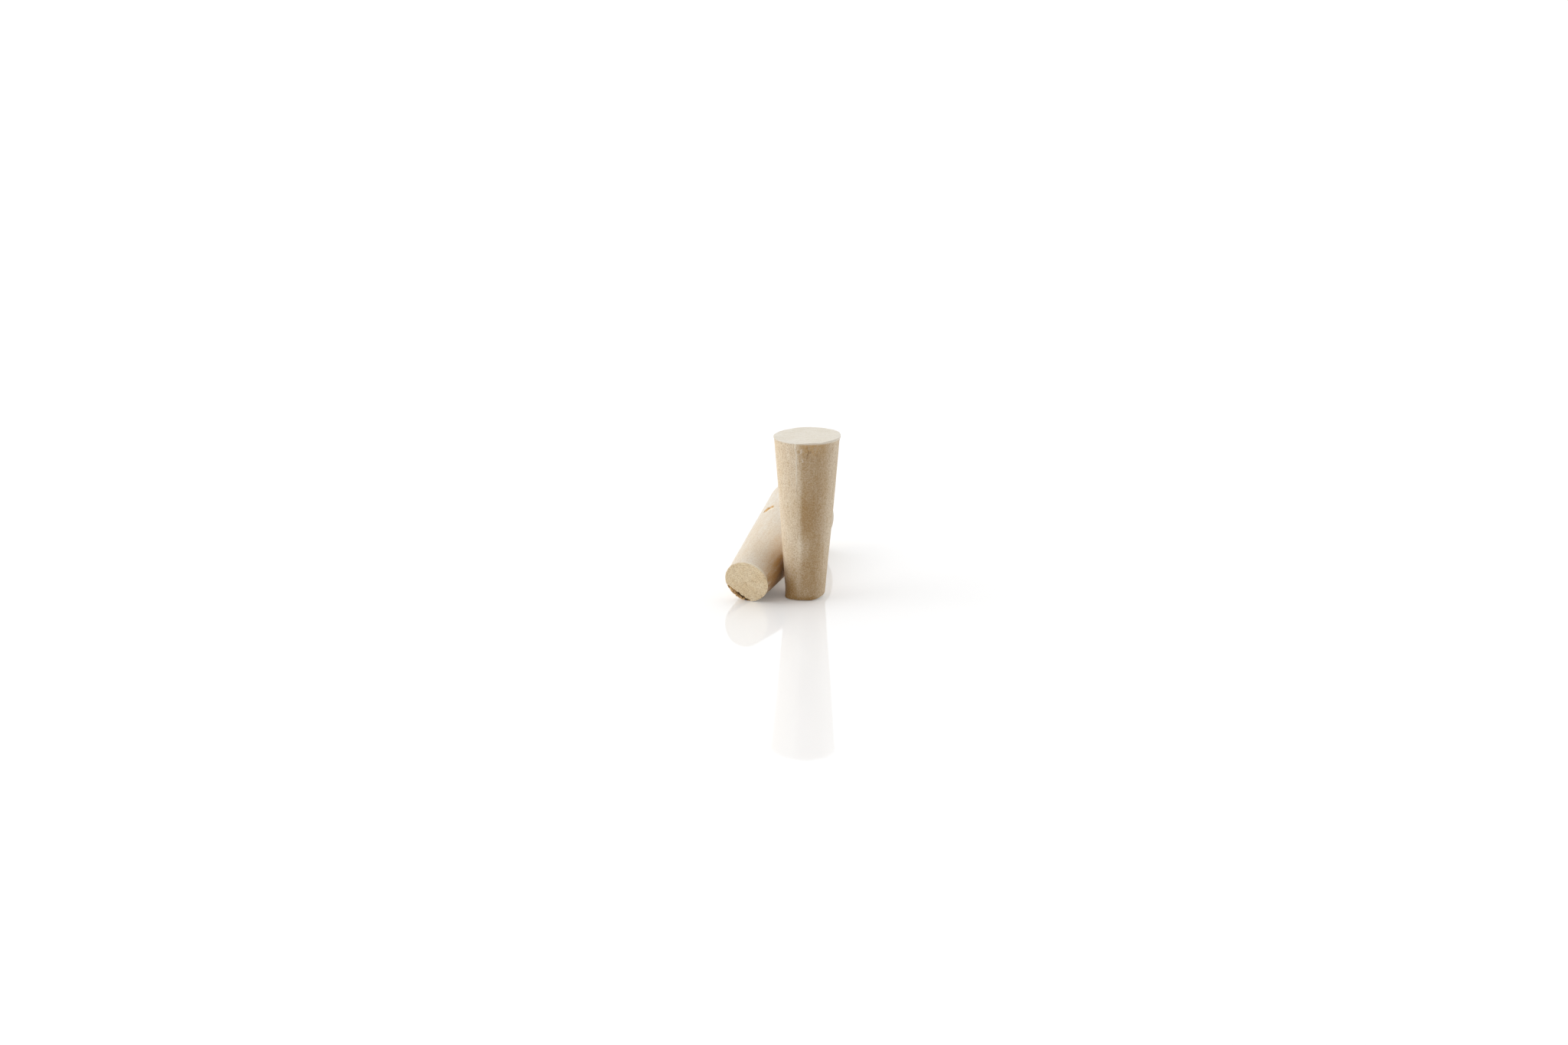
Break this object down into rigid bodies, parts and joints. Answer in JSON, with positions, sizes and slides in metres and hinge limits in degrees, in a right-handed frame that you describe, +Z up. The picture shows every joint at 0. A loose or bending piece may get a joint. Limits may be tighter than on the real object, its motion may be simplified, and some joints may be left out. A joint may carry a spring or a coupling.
{
  "type": "tapered wooden plugs",
  "caption": "Loose tapered round plugs of pale wood for stopping round holes, saw cut at both ends, stored with one standing on its narrow end beside one lying on its side.",
  "frame": {"origin": "centre of the narrow end of the standing plug, on the surface that both plugs rest on", "axes": "+Z up along the standing plug from its narrow end to its wide end; -Y is the front, where the lying plug's narrow end faces; +X is to the right seen from the front"},
  "size_m": [0.027, 0.0513, 0.0403],
  "materials": {
    "standing_wood": "bare turned softwood, matt, with a darker band round the middle",
    "lying_wood": "bare turned softwood, matt, paler"
  },
  "bodies": {
    "lying_plug": {"lying_plug": "lying_wood"},
    "standing_plug": {"standing_plug": "standing_wood"}
  },
  "joints": [
    {"name": "standing_plug_lift", "type": "slide", "parent": "lying_plug", "child": "standing_plug", "axis": [0, 0, 1], "range_m": [0, 0.05]}
  ]
}
